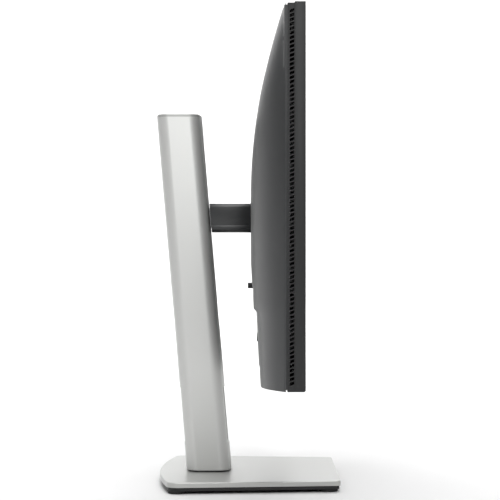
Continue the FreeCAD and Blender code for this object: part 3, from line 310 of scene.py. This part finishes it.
def pillow_mesh(name, half, bottom, top, front, sink, row_step=4.0, column_ratio=1.5, least_gap=0.8):
    """A closed solid between a flat front plane and the cover's smooth back, sunk by a wall."""
    columns = int(round(2 * half / row_step / column_ratio))
    xs = [-half + 2 * half * index / columns for index in range(columns + 1)]
    zs = {bottom, top}
    zs.update(z for z, _ in UPPER_ARC + LONG_ARC + LOWER_RUNS if bottom < z < top)
    rows = int((top - bottom) / row_step)
    zs.update(bottom + (top - bottom) * index / rows for index in range(rows + 1))
    zs = sorted(zs)
    kept = [zs[0]]
    for z in zs[1:]:
        if z - kept[-1] > least_gap:
            kept.append(z)
    zs = kept
    bm = bmesh.new()
    back = [[bm.verts.new((x * MM, (cover_depth(x, z) - sink) * MM, z * MM)) for z in zs] for x in xs]
    flat = [[bm.verts.new((x * MM, front * MM, z * MM)) for z in zs] for x in xs]
    for i in range(len(xs) - 1):
        for j in range(len(zs) - 1):
            bm.faces.new((back[i][j], back[i][j + 1], back[i + 1][j + 1], back[i + 1][j]))
            bm.faces.new((flat[i][j], flat[i + 1][j], flat[i + 1][j + 1], flat[i][j + 1]))
    for i in range(len(xs) - 1):
        for j in (0, len(zs) - 1):
            bm.faces.new((back[i][j], back[i + 1][j], flat[i + 1][j], flat[i][j]))
    for j in range(len(zs) - 1):
        for i in (0, len(xs) - 1):
            bm.faces.new((back[i][j], back[i][j + 1], flat[i][j + 1], flat[i][j]))
    bmesh.ops.recalc_face_normals(bm, faces=bm.faces)
    mesh = bpy.data.meshes.new(name)
    bm.to_mesh(mesh)
    bm.free()
    return mesh


def mm_block(name, x, y, z, radius=0.0):
    """A block from its spans in millimetres."""
    low, high = zip(x, y, z)
    return block_mesh(name, [value * MM for value in low], [value * MM for value in high], radius * MM)


def around(middle, half):
    return (middle - half, middle + half)


def socket_window(node):
    """An opening through the bay's ceiling, as large as the sockets of a node."""
    low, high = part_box(node)
    ceiling = (0.148, 0.156)
    return block_mesh(node + "_window", (low.x, low.y, ceiling[0]), (high.x, high.y, ceiling[1]))


def make_rear_cover():
    """Outer pillow, hollowed, with the square mounting recess and the socket bay."""
    outer = pillow_mesh("cover_outer", HALF_WIDTH, COVER_BOTTOM, COVER_TOP, COVER_EDGE - 0.4, 0)
    inner = pillow_mesh(
        "cover_inner", HALF_WIDTH - COVER_RIM, COVER_BOTTOM + COVER_RIM, COVER_TOP - COVER_RIM,
        -40.0, COVER_WALL,
    )
    hollow = shaped("cover_hollow", inner, [
        mm_block("recess_wall", (-63.5, 63.5), (-19.5, 10), around(PIVOT_Z, 63.5), 8),
        mm_block("bay_wall", (-122.5, 122.5), (-33.5, 10), (90, 152.5), 6),
    ])
    floor = (-25, -10)
    cutters = [
        hollow,
        mm_block("recess", (-61, 61), (-17, 10), around(PIVOT_Z, 61), 6),
        mm_block("bay", (-120, 120), (-31, 10), (90, 150), 4),
        mm_block("nut_hole", (-24, 24), floor, around(PIVOT_Z, 24), 23.9),
        mm_block("hook_slot_right", (17.5, 30.5), floor, (PIVOT_Z + 45, PIVOT_Z + 56), 1),
        mm_block("hook_slot_left", (-30.5, -17.5), floor, (PIVOT_Z + 45, PIVOT_Z + 56), 1),
        mm_block("catch_slot", (-10, 10), floor, (PIVOT_Z - 52, PIVOT_Z - 44), 1),
        mm_block("button_slot", (-8.5, 8.5), (-14, 5), (192.7, 202.7), 1),
        mm_block("stick_hole", (220.4, 231.6), (-34, 5), (130.4, 141.6), 5.55),
        socket_window("power_inlet"),
        socket_window("data_ports"),
    ]
    for x in (-50, 50):
        for z in (PIVOT_Z - 50, PIVOT_Z + 50):
            cutters.append(mm_block(f"insert_{x}_{z}", around(x, 5), floor, around(z, 5), 4.95))
    lip = mm_block("lip", (-264, 264), (-36.9, -34.0), (111.4, COVER_TOP - 1.6))
    mesh = shaped("rear_cover_skin", outer, cutters, [lip])
    smooth_by_angle(mesh, 24)
    add_piece("rear_cover_skin", mesh, "display", "rear_cover")


make_rear_cover()
# Node, body, edge radius in millimetres, segments and the angle up to which faces look smooth
for node, body, width, segments, smooth in (
    ("base_plate", "base", 0.08, 1, 20),
    ("base_tray", "base", 0.4, 2, 25),
    ("column_shell", "column", 0.2, 2, 30),
    ("arm_cover_upper", "carriage", 0.3, 2, 30),
    ("arm_cover_lower", "carriage", 0.3, 2, 30),
    ("plate_cover", "display", 0.3, 2, 20),
    ("front_bezel", "display", 0.3, 2, 30),
    ("vent_frame", "display", 0.10, 1, 20),
    ("release_button", "release", 0.4, 2, 32),
    ("joystick_cap", "stick_top", 0.5, 2, 32),
    ("foot_pads", "base", 0.4, 2, 32),
    ("cable_tunnel", "column", 0.2, 2, 32),
):
    rounded_copy(node, body, width * MM, segments, smooth)

# Stage -------------------------------------------------------------------------------------------


def make_stage():
    """A pale floor that curves up into a backdrop far behind the object."""
    mesh = bpy.data.meshes.new("floor")
    bm = bmesh.new()
    reach, bend, steps = 12.0, 2.0, 24
    profile = [(-6.0, 0.0), (8.0, 0.0)]
    for step in range(1, steps + 1):
        angle = math.pi / 2 * step / steps
        profile.append((8.0 + bend * math.sin(angle), bend * (1 - math.cos(angle))))
    profile.append((10.0, 8.0))
    rows = [[bm.verts.new((x, y, z)) for x, z in profile] for y in (-reach, reach)]
    for index in range(len(profile) - 1):
        face = bm.faces.new((rows[0][index], rows[0][index + 1], rows[1][index + 1], rows[1][index]))
        face.smooth = True
    bm.to_mesh(mesh)
    bm.free()
    floor = bpy.data.objects.new("floor", mesh)
    bpy.context.scene.collection.objects.link(floor)
    floor.data.materials.append(surface("floor_paint", (0.88, 0.88, 0.88), 0.7, 0, 0.004, 0.8, 0.01, 0.01))


def area_light(name, place, aim, width, height, power):
    lamp = bpy.data.lights.new(name, "AREA")
    lamp.shape = "RECTANGLE"
    lamp.size = width
    lamp.size_y = height
    lamp.energy = power
    holder = bpy.data.objects.new(name, lamp)
    holder.location = place
    holder.rotation_euler = (Vector(aim) - Vector(place)).to_track_quat("-Z", "Y").to_euler()
    bpy.context.scene.collection.objects.link(holder)


def make_lights():
    world = bpy.data.worlds.new("studio")
    world.use_nodes = True
    world.node_tree.nodes["Background"].inputs["Color"].default_value = (1, 1, 1, 1)
    world.node_tree.nodes["Background"].inputs["Strength"].default_value = 0.30
    bpy.context.scene.world = world
    area_light("key_softbox", (-2.4, 0, 1.5), (0, 0, 0.45), 1.7, 1.5, 28)
    area_light("top_softbox", (-0.3, 0, 2.3), (0, 0, 0), 1.6, 1.6, 24)
    area_light("backdrop_softbox", (4.2, 0, 4.6), (6.5, 0, 0.5), 8.0, 4.0, 620)


def make_camera():
    """Level and square to the object's side."""
    lens = bpy.data.cameras.new("camera")
    lens.lens = 134.6
    lens.sensor_width = 36
    lens.clip_end = 60
    holder = bpy.data.objects.new("camera", lens)
    holder.location = (-1.923, -0.0036, 0.2359)
    holder.rotation_euler = (math.pi / 2, 0, -math.pi / 2)
    bpy.context.scene.collection.objects.link(holder)
    bpy.context.scene.camera = holder


make_stage()
make_lights()
make_camera()
bpy.context.scene.view_settings.view_transform = "Standard"
